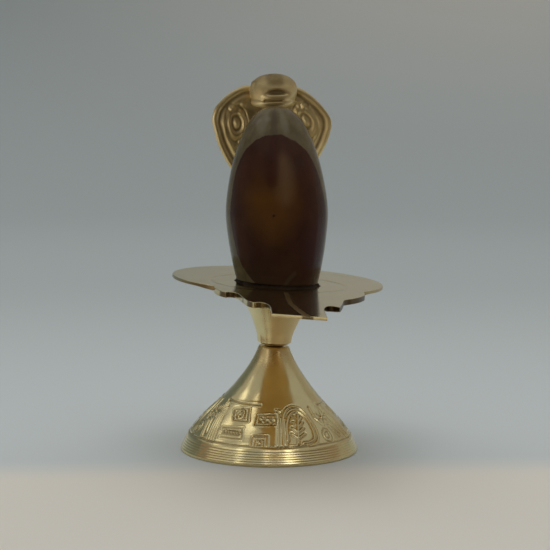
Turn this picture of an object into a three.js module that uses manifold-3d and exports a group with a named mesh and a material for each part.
// A polished lingam stone standing on a turned brass stand with a spouted tray and a cobra hood.
// Millimetres, +Z up, the spout points along -Y. The origin is under the middle of the whole.

import * as THREE from 'three';
import { mergeVertices } from 'three/addons/utils/BufferGeometryUtils.js';
import Module from 'manifold-3d';

const wasm = await Module();
wasm.setup();

// ---- driving dimensions ----------------------------------------------------------------

const RUNNING_GAP = 0.2; // between pieces that rest on or pass through one another

// stone: a pointed oval of revolution, ground flat under its foot
const STONE_RADIUS = 14.45;
const STONE_HEIGHT = 48.8;
const STONE_WAIST_HEIGHT = 19.3; // the widest level above the foot
const STONE_UNDER_WAIST = 35; // how far the oval would run on below the waist
const STONE_TAPER = 1.4; // exponents of the oval: 2 and 2 is an ellipse,
const STONE_BLUNTNESS = 2.5; // a low taper runs in straighter, a high bluntness rounds the tip
const STONE_LEAN = 1.4; // degrees off upright, against the tray's tilt

const BEDDING_RADIUS = 12.1;
const BEDDING_THICKNESS = 0.4;

// tray: a round plate with a stepped, scalloped neck and a straight spout
const TRAY_RADIUS = 30.3;
const TRAY_CENTRE = [0.9, 10.3]; // of the round part, from the stone's axis
const TRAY_THICKNESS = 0.9;
const TRAY_HEIGHT = 46.5; // underside, above the ground
const TRAY_TILT_SIDE = 2.86; // degrees, down towards +X
const TRAY_TILT_BACK = 0.5; // degrees, up towards the back
const SPOUT_LEFT = [-6.8, -62.6];
const SPOUT_RIGHT = [6.8, -64.8];

// each stretch of the neck runs between two sharp points; the first ends on the round edge
const NECK_LEFT = [
  [[-18.7, -12.7], [-18.5, -18.4], [-17.5, -22.8], [-16.1, -25.4]],
  [[-16.1, -25.4], [-14.5, -24.3], [-13.0, -26.6], [-12.2, -33.5], [-11.3, -40.2], [-9.8, -43.6]],
  [[-9.8, -43.6], [-8.3, -42.3], [-6.7, -44.6], [-6.2, -51], SPOUT_LEFT],
];
const NECK_RIGHT = [
  [[23.3, -10.2], [22.5, -17], [20.4, -22.6], [17.8, -26.8], [16.3, -28.6]],
  [[16.3, -28.6], [15.1, -30.8], [14.1, -36.5], [12.2, -45.4]],
  [[12.2, -45.4], [10.9, -43.2], [9.3, -43.6], [8.0, -47.6], [7.4, -53.5], SPOUT_RIGHT],
];

// collar: flares up to the tray, with a spigot through the tray and a stud down the pedestal
const COLLAR_BOTTOM_RADIUS = 4.2;
const COLLAR_LIP_RADIUS = 4.75;
const COLLAR_LIP_HEIGHT = 0.4;
// share of the collar's height and radius
const COLLAR_FLARE = [[0.17, 5.17], [0.31, 5.98], [0.44, 6.8], [0.57, 7.82], [0.7, 9.1], [0.83, 10.4]];
const COLLAR_TOP_RADIUS = 11.9;
const COLLAR_TOP_EDGE = 0.5;
const COLLAR_BOSS_RADIUS = 2.9; // the small shoulder that shows as a dark joint
const COLLAR_BOSS_HEIGHT = 0.5;
const SPIGOT_RADIUS = 3;
const STUD_RADIUS = 1.95;
const STUD_LENGTH = 12.2;
const STUD_CHAMFER = 0.35;

const NUT_ACROSS_FLATS = 7;
const NUT_THICKNESS = 3.2;

// pedestal: a hollow cone on a steeper rim band
const PEDESTAL_HEIGHT = 29.6;
const PEDESTAL_WALL = 1.9;
const PEDESTAL_SHIFT = 1.15; // how far the neck and all on it stand to +X of the base
const LEAN_HEIGHT = 19.24; // over which the pedestal bends to that and to the tray's tilt
const RIM_RADIUS = 25.15;
const RIM_TOP_RADIUS = 23.35;
const RIM_HEIGHT = 4.75;
const RIM_EDGE = 0.7; // the small upright edge at the ground
const RIM_CORNER = 0.25;
// height and radius
const CONE_OUTSIDE = [[9, 19.55], [13, 15.6], [17, 12], [20, 9.65], [22.5, 7.85], [25, 6.3], [27.3, 5.15]];
const NECK_RADIUS = 4.35;
const NECK_CHAMFER = 0.3;
const CEILING_HEIGHT = 21.6; // of the hollow
const CEILING_CORNER = 1; // how far below it the cone's own slope ends
const STUD_HOLE_RADIUS = 2.6; // wide enough for the stud's tilt

// cobra: foot pad on the tray, round neck, dished hood and a head that reaches over the stone
const COBRA_FOOT = [0.8, 27]; // from the stone's axis
const COBRA_LEAN = 1.9; // degrees towards -X
const PAD_RADIUS = 6.4;
const PAD_THICKNESS = 1.4;
const PAD_CHAMFER = 1.2;
const RIVET_RADIUS = 1.6;
const RIVET_HEAD_RADIUS = 2.7;
const RIVET_HEAD_THICKNESS = 0.9;
// height above the tray, distance behind the stone's axis, half width, half thickness, forward cup
const HOOD_SECTIONS = [
  [0.8, 27, 4.6, 3.9, 0],
  [4, 27.4, 3.6, 3.3, 0],
  [10, 28, 3.2, 3.0, 0],
  [17, 27.6, 3.5, 2.8, 0],
  [22.5, 26.3, 5.2, 2.5, 0.4],
  [27, 24.7, 8.8, 2.2, 1.2],
  [31, 23, 11.9, 1.9, 2.2],
  [35.5, 21.1, 14.5, 1.7, 3.0],
  [40, 19.2, 16.3, 1.6, 3.6],
  [44.8, 17.3, 17.1, 1.6, 4.0],
  [48.4, 15.9, 15.8, 1.6, 3.8],
  [51, 14.9, 13.7, 1.6, 3.3],
  [53.2, 14.1, 11.1, 1.6, 2.7],
  [54.8, 13.5, 8.2, 1.5, 1.8],
  [55.4, 13.3, 6.4, 1.1, 1.2],
];
const HOOD_BEND = 0.86; // how far the hood's top leans to -X
const HOOD_BEND_HEIGHTS = [42, 50]; // and between which heights it bends
const HOOD_EDGE = 0.85; // exponent of the sections' round edges
const HEAD_CENTRE = [0, 9.4, 54.4]; // across, behind the stone's axis, above the tray
const HEAD_HALF = [6.9, 7.4, 4.15];
const JAW_CENTRE = [0, 8.9, 51.6];
const JAW_HALF = [6.1, 5.9, 1.5];

// facets
const STONE_SIDES = 40;
const STONE_ROWS = 11;
const PEDESTAL_SIDES = 56;
const COLLAR_SIDES = 32;
const DISC_SIDES = 40;
const TRAY_SIDES = 60; // along the round part
const NECK_STEPS = 6; // between two points of the neck
const HOOD_SIDES = 28;
const SMALL_SIDES = 20;

// ---- helpers ---------------------------------------------------------------------------

const radians = THREE.MathUtils.degToRad;

function solid(geometry) {
  const bare = geometry.index ? geometry.clone() : mergeVertices(geometry.clone());
  bare.deleteAttribute('normal');
  bare.deleteAttribute('uv');
  const merged = mergeVertices(bare, 1e-4);
  const vertProperties = new Float32Array(merged.attributes.position.array);
  const triVerts = new Uint32Array(merged.index.array);
  return new wasm.Manifold(new wasm.Mesh({ numProp: 3, vertProperties, triVerts }));
}

function surface(manifold) {
  const { vertProperties, triVerts } = manifold.getMesh();
  const geometry = new THREE.BufferGeometry();
  geometry.setAttribute('position', new THREE.BufferAttribute(vertProperties, 3));
  geometry.setIndex(new THREE.BufferAttribute(triVerts, 1));
  return geometry;
}

// turns a closed outline of [height, radius] pairs about Z
function turned(outline, sides) {
  const points = outline.map(([height, radius]) => new THREE.Vector2(radius, height));
  return new THREE.LatheGeometry(points, sides).rotateX(Math.PI / 2);
}

function disc(radius, bottom, top, sides, x = 0, y = 0) {
  const outline = [[bottom, 0], [bottom, radius], [top, radius], [top, 0]];
  return turned(outline, sides).translate(x, y, 0);
}

function ellipsoid(centre, half) {
  return new THREE.SphereGeometry(1, SMALL_SIDES, SMALL_SIDES / 2)
    .rotateX(Math.PI / 2)
    .scale(...half)
    .translate(...centre);
}

function named(name, geometry, look) {
  const mesh = new THREE.Mesh(geometry, new THREE.MeshStandardMaterial(look));
  mesh.name = name;
  return mesh;
}

// ---- looks -----------------------------------------------------------------------------

const POLISHED_STONE = { color: 0x4a2a1e, roughness: 0.15, metalness: 0 };
const SETTING_COMPOUND = { color: 0x17130f, roughness: 0.8, metalness: 0 };
const POLISHED_BRASS = { color: 0xcdb071, roughness: 0.2, metalness: 1 };
const CAST_BRASS = { color: 0xc8ab6a, roughness: 0.32, metalness: 1 };
const PLAIN_STEEL = { color: 0x9b9b98, roughness: 0.4, metalness: 1 };

// ---- pieces ----------------------------------------------------------------------------

// Half of a pointed oval: radius and distance from the waist, from the waist to the tip.
function ovalQuarter(reach) {
  const rows = Array.from({ length: STONE_ROWS + 1 }, (_, i) => (i / STONE_ROWS) * (Math.PI / 2));
  return rows.map((turn) => [
    reach * Math.sin(turn) ** (2 / STONE_TAPER),
    STONE_RADIUS * Math.cos(turn) ** (2 / STONE_BLUNTNESS),
  ]);
}

// The stone stands with its waist above the foot plane z = 0, leaning by `lean` degrees.
function makeStone(lean) {
  const upper = ovalQuarter(STONE_HEIGHT - STONE_WAIST_HEIGHT);
  const lower = ovalQuarter(STONE_UNDER_WAIST).map(([below, radius]) => [-below, radius]);
  lower[STONE_ROWS][1] = 0;
  upper[STONE_ROWS][1] = 0;
  const outline = [...lower.reverse(), ...upper.slice(1)];
  const oval = turned(outline, STONE_SIDES).translate(0, 0, STONE_WAIST_HEIGHT);
  oval.rotateY(radians(lean));
  const keep = new THREE.BoxGeometry(4 * STONE_RADIUS, 4 * STONE_RADIUS, 2 * STONE_HEIGHT);
  keep.translate(0, 0, STONE_HEIGHT);
  return surface(solid(oval).intersect(solid(keep)));
}

function makeBedding() {
  return surface(solid(disc(BEDDING_RADIUS, 0, BEDDING_THICKNESS, DISC_SIDES)));
}

// One side of the neck, from the round edge to the spout, without the point on the round edge.
function neckSide(stretches) {
  return stretches.flatMap((stretch) => {
    const curve = new THREE.SplineCurve(stretch.map(([x, y]) => new THREE.Vector2(x, y)));
    return curve.getPoints(NECK_STEPS * (stretch.length - 1)).slice(1);
  });
}

function trayShape() {
  const [x, y] = TRAY_CENTRE;
  const angleTo = ([px, py]) => Math.atan2(py - y, px - x);
  const start = angleTo(NECK_RIGHT[0][0]);
  const end = angleTo(NECK_LEFT[0][0]) + 2 * Math.PI;
  const round = new THREE.EllipseCurve(x, y, TRAY_RADIUS, TRAY_RADIUS, start, end);
  const outline = [
    ...round.getPoints(TRAY_SIDES),
    ...neckSide(NECK_LEFT),
    ...neckSide(NECK_RIGHT).reverse(),
  ];
  return new THREE.Shape(outline);
}

function makeTray() {
  const plate = new THREE.ExtrudeGeometry(trayShape(), {
    depth: TRAY_THICKNESS,
    bevelEnabled: false,
  });
  const reach = TRAY_THICKNESS * 2;
  const spigotHole = disc(SPIGOT_RADIUS + RUNNING_GAP, -reach, reach, SMALL_SIDES);
  const rivetHole = disc(RIVET_RADIUS + RUNNING_GAP, -reach, reach, SMALL_SIDES, ...COBRA_FOOT);
  return surface(solid(plate).subtract(solid(spigotHole)).subtract(solid(rivetHole)));
}

// Its origin is on the pedestal's top; it ends RUNNING_GAP under a tray `height` above that.
function makeCollar(height) {
  const shoulder = RUNNING_GAP + COLLAR_BOSS_HEIGHT;
  const top = height - RUNNING_GAP;
  return surface(solid(turned([
    [-STUD_LENGTH, 0],
    [-STUD_LENGTH, STUD_RADIUS - STUD_CHAMFER],
    [-STUD_LENGTH + STUD_CHAMFER, STUD_RADIUS],
    [RUNNING_GAP, STUD_RADIUS],
    [RUNNING_GAP, COLLAR_BOSS_RADIUS],
    [shoulder, COLLAR_BOSS_RADIUS],
    [shoulder, COLLAR_BOTTOM_RADIUS],
    [shoulder + COLLAR_LIP_HEIGHT, COLLAR_LIP_RADIUS],
    ...COLLAR_FLARE.map(([share, radius]) => [shoulder + share * (top - shoulder), radius]),
    [top - COLLAR_TOP_EDGE, COLLAR_TOP_RADIUS],
    [top, COLLAR_TOP_RADIUS],
    [top, SPIGOT_RADIUS],
    [height + TRAY_THICKNESS - RUNNING_GAP, SPIGOT_RADIUS],
    [height + TRAY_THICKNESS - RUNNING_GAP, 0],
  ], COLLAR_SIDES)));
}

function makeNut() {
  const corner = NUT_ACROSS_FLATS / Math.sqrt(3);
  const hexagon = new THREE.Shape();
  for (let i = 0; i < 6; i += 1) {
    const turn = (i * Math.PI) / 3;
    const [x, y] = [corner * Math.cos(turn), corner * Math.sin(turn)];
    if (i === 0) hexagon.moveTo(x, y);
    else hexagon.lineTo(x, y);
  }
  const bore = new THREE.Path();
  bore.absarc(0, 0, STUD_RADIUS + RUNNING_GAP, 0, 2 * Math.PI, true);
  hexagon.holes.push(bore);
  const block = new THREE.ExtrudeGeometry(hexagon, {
    depth: NUT_THICKNESS,
    curveSegments: SMALL_SIDES / 2,
    bevelEnabled: false,
  });
  return surface(solid(block));
}

// The neck of the pedestal stands a little to +X of its base and its top tilts with the tray.
function leanNeck(geometry) {
  const points = geometry.attributes.position;
  const tilt = Math.tan(radians(TRAY_TILT_SIDE));
  for (let i = 0; i < points.count; i += 1) {
    const [x, z] = [points.getX(i), points.getZ(i)];
    const share = THREE.MathUtils.smoothstep(z, 0, LEAN_HEIGHT);
    points.setX(i, x + PEDESTAL_SHIFT * share);
    points.setZ(i, z - tilt * x * share);
  }
  return geometry;
}

// The cone's outside radius at a height between two of its points.
function coneRadius(height) {
  const above = CONE_OUTSIDE.findIndex(([level]) => level > height);
  const [[lowLevel, lowRadius], [highLevel, highRadius]] = CONE_OUTSIDE.slice(above - 1, above + 1);
  return THREE.MathUtils.mapLinear(height, lowLevel, highLevel, lowRadius, highRadius);
}

function makePedestal() {
  const wallAcross = PEDESTAL_WALL * Math.SQRT2; // level width of the sloping wall
  const hollow = CONE_OUTSIDE.filter(([height]) => height < CEILING_HEIGHT - CEILING_CORNER);
  const outline = [
    [0, RIM_RADIUS],
    [RIM_EDGE, RIM_RADIUS],
    [RIM_HEIGHT - RIM_CORNER, RIM_TOP_RADIUS],
    [RIM_HEIGHT, RIM_TOP_RADIUS - RIM_CORNER],
    ...CONE_OUTSIDE,
    [PEDESTAL_HEIGHT - NECK_CHAMFER, NECK_RADIUS],
    [PEDESTAL_HEIGHT, NECK_RADIUS - NECK_CHAMFER],
    [PEDESTAL_HEIGHT, STUD_HOLE_RADIUS],
    [CEILING_HEIGHT, STUD_HOLE_RADIUS],
    [CEILING_HEIGHT, coneRadius(CEILING_HEIGHT) - PEDESTAL_WALL],
    ...hollow.reverse().map(([height, radius]) => [height, radius - wallAcross]),
    [RIM_HEIGHT, RIM_TOP_RADIUS - wallAcross],
    [0, RIM_RADIUS - PEDESTAL_WALL],
    [0, RIM_RADIUS],
  ];
  return surface(solid(leanNeck(turned(outline, PEDESTAL_SIDES))));
}

// One closed skin through flat sections; each is a dished, round-edged strip.
function makeHoodSkin() {
  const positions = [];
  const faces = [];
  const rows = HOOD_SECTIONS.length;
  const bend = (height) => -HOOD_BEND * THREE.MathUtils.smoothstep(height, ...HOOD_BEND_HEIGHTS);
  const rounded = (share) => Math.sign(share) * Math.abs(share) ** HOOD_EDGE;
  for (const [height, back, halfWidth, halfThickness, cup] of HOOD_SECTIONS) {
    for (let i = 0; i < HOOD_SIDES; i += 1) {
      const turn = (2 * Math.PI * i) / HOOD_SIDES;
      const across = rounded(Math.cos(turn));
      const through = rounded(Math.sin(turn));
      const x = bend(height) + halfWidth * across;
      positions.push(x, back + halfThickness * through - cup * across ** 2, height);
    }
  }
  for (const row of [0, rows - 1]) {
    const [height, back] = HOOD_SECTIONS[row];
    positions.push(bend(height), back, height);
  }
  const [bottomCentre, topCentre] = [rows * HOOD_SIDES, rows * HOOD_SIDES + 1];
  for (let i = 0; i < HOOD_SIDES; i += 1) {
    const next = (i + 1) % HOOD_SIDES;
    const top = (rows - 1) * HOOD_SIDES;
    faces.push(bottomCentre, next, i, topCentre, top + i, top + next);
    for (let row = 0; row < rows - 1; row += 1) {
      const [a, b] = [row * HOOD_SIDES + i, row * HOOD_SIDES + next];
      faces.push(a, b, b + HOOD_SIDES, a, b + HOOD_SIDES, a + HOOD_SIDES);
    }
  }
  const geometry = new THREE.BufferGeometry();
  geometry.setAttribute('position', new THREE.Float32BufferAttribute(positions, 3));
  geometry.setIndex(faces);
  return geometry;
}

// The foot pad lies on the tilted tray, its rivet goes through it, and the snake stands upright.
function makeCobra() {
  const [footX, footY] = COBRA_FOOT;
  const upright = (geometry) => geometry
    .translate(0, -footY, -PAD_THICKNESS)
    .rotateX(radians(-TRAY_TILT_BACK))
    .rotateY(radians(-TRAY_TILT_SIDE - COBRA_LEAN))
    .translate(footX, footY, PAD_THICKNESS);
  const under = -TRAY_THICKNESS - RUNNING_GAP;
  const pad = turned([
    [RUNNING_GAP, 0],
    [RUNNING_GAP, PAD_RADIUS],
    [0.6 * PAD_THICKNESS, PAD_RADIUS],
    [PAD_THICKNESS, PAD_RADIUS - PAD_CHAMFER],
    [PAD_THICKNESS, 0],
  ], SMALL_SIDES + 4).translate(footX, footY, 0);
  const inHead = under - 0.5 * RIVET_HEAD_THICKNESS;
  const shank = disc(RIVET_RADIUS, inHead, PAD_THICKNESS, SMALL_SIDES, footX, footY);
  const rivetHead = turned([
    [under - RIVET_HEAD_THICKNESS, 0],
    [under - RIVET_HEAD_THICKNESS, 0.55 * RIVET_HEAD_RADIUS],
    [under - 0.45 * RIVET_HEAD_THICKNESS, RIVET_HEAD_RADIUS],
    [under, RIVET_HEAD_RADIUS],
    [under, 0],
  ], SMALL_SIDES).translate(footX, footY, 0);
  const pieces = [pad, shank, rivetHead, upright(makeHoodSkin())];
  pieces.push(upright(ellipsoid(HEAD_CENTRE, HEAD_HALF)), upright(ellipsoid(JAW_CENTRE, JAW_HALF)));
  return surface(pieces.map(solid).reduce((whole, piece) => whole.add(piece)));
}

// ---- assembly --------------------------------------------------------------------------

// Everything above the pedestal stands in one group, tilted about the pedestal's top.
const upper = new THREE.Group();
upper.position.set(PEDESTAL_SHIFT, 0, PEDESTAL_HEIGHT);
upper.rotation.set(radians(TRAY_TILT_BACK), radians(TRAY_TILT_SIDE), 0);

const trayBottom = TRAY_HEIGHT - PEDESTAL_HEIGHT;
const trayTop = trayBottom + TRAY_THICKNESS;

const collar = named('collar', makeCollar(trayBottom), POLISHED_BRASS);

const nut = named('stud_nut', makeNut(), PLAIN_STEEL);
nut.position.z = CEILING_HEIGHT - PEDESTAL_HEIGHT - NUT_THICKNESS - RUNNING_GAP;

const tray = named('tray', makeTray(), POLISHED_BRASS);
tray.position.z = trayBottom;

const bedding = named('bedding', makeBedding(), SETTING_COMPOUND);
bedding.position.z = trayTop + RUNNING_GAP;

const stone = named('stone', makeStone(-STONE_LEAN - TRAY_TILT_SIDE), POLISHED_STONE);
stone.position.z = bedding.position.z + BEDDING_THICKNESS + RUNNING_GAP;

const cobra = named('cobra_hood', makeCobra(), CAST_BRASS);
cobra.position.z = trayTop;

upper.add(collar, nut, tray, bedding, stone, cobra);

const pedestal = named('pedestal', makePedestal(), POLISHED_BRASS);

const whole = new THREE.Group();
whole.add(pedestal, upper);
whole.updateMatrixWorld(true);
const reach = new THREE.Box3().setFromObject(whole, true);
const middle = reach.getCenter(new THREE.Vector3());
whole.position.set(-middle.x, -middle.y, -reach.min.z);

export default whole;
